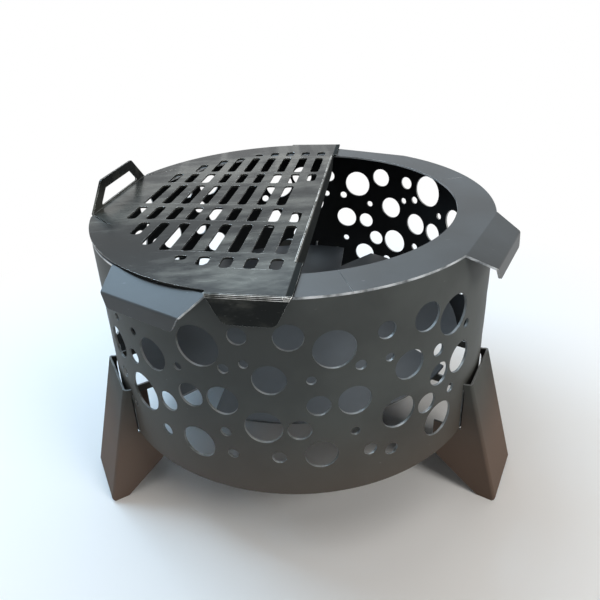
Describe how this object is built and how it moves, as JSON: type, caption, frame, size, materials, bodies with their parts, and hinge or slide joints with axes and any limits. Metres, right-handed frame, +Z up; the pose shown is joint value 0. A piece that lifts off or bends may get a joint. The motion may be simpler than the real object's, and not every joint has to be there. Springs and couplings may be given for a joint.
{
  "type": "fire pit",
  "caption": "Round sheet-steel fire pit: drum with round air holes, flat rim with bent lifting tabs, hook-on folded legs and a half-moon cooking grate with a bent-up handle.",
  "frame": {"origin": "on the ground under the middle of the whole object's bounding box", "axes": "+Z up; -Y is the side with the grate's near hook; +X is the open side of the mouth"},
  "size_m": [0.6698, 0.6756, 0.4513],
  "materials": {
    "satin_paint": "satin charcoal heat-proof paint",
    "tray_paint": "satin charcoal heat-proof paint",
    "mill_steel": "dark semi-gloss mill finish"
  },
  "bodies": {
    "drum": {"drum_wall": "satin_paint", "rim_segment_1": "satin_paint", "rim_segment_2": "satin_paint", "rim_segment_3": "satin_paint", "rim_segment_4": "satin_paint"},
    "tray": {"fire_tray": "tray_paint"},
    "grate": {"cooking_grate": "mill_steel"},
    "left_leg": {"leg_1": "satin_paint"},
    "right_leg": {"leg_2": "satin_paint"},
    "back_leg": {"leg_3": "satin_paint"}
  },
  "joints": [
    {"name": "grate_lift_off", "type": "slide", "parent": "drum", "child": "grate", "axis": [0, 0, 1], "range_m": [0, 0.3]},
    {"name": "tray_lift", "type": "slide", "parent": "drum", "child": "tray", "axis": [0, 0, 1], "range_m": [0, 0.18]},
    {"name": "left_leg_unhook", "type": "slide", "parent": "drum", "child": "left_leg", "axis": [0, 0, -1], "range_m": [0, 0.09]},
    {"name": "right_leg_unhook", "type": "slide", "parent": "drum", "child": "right_leg", "axis": [0, 0, -1], "range_m": [0, 0.09]},
    {"name": "back_leg_unhook", "type": "slide", "parent": "drum", "child": "back_leg", "axis": [0, 0, -1], "range_m": [0, 0.09]}
  ]
}
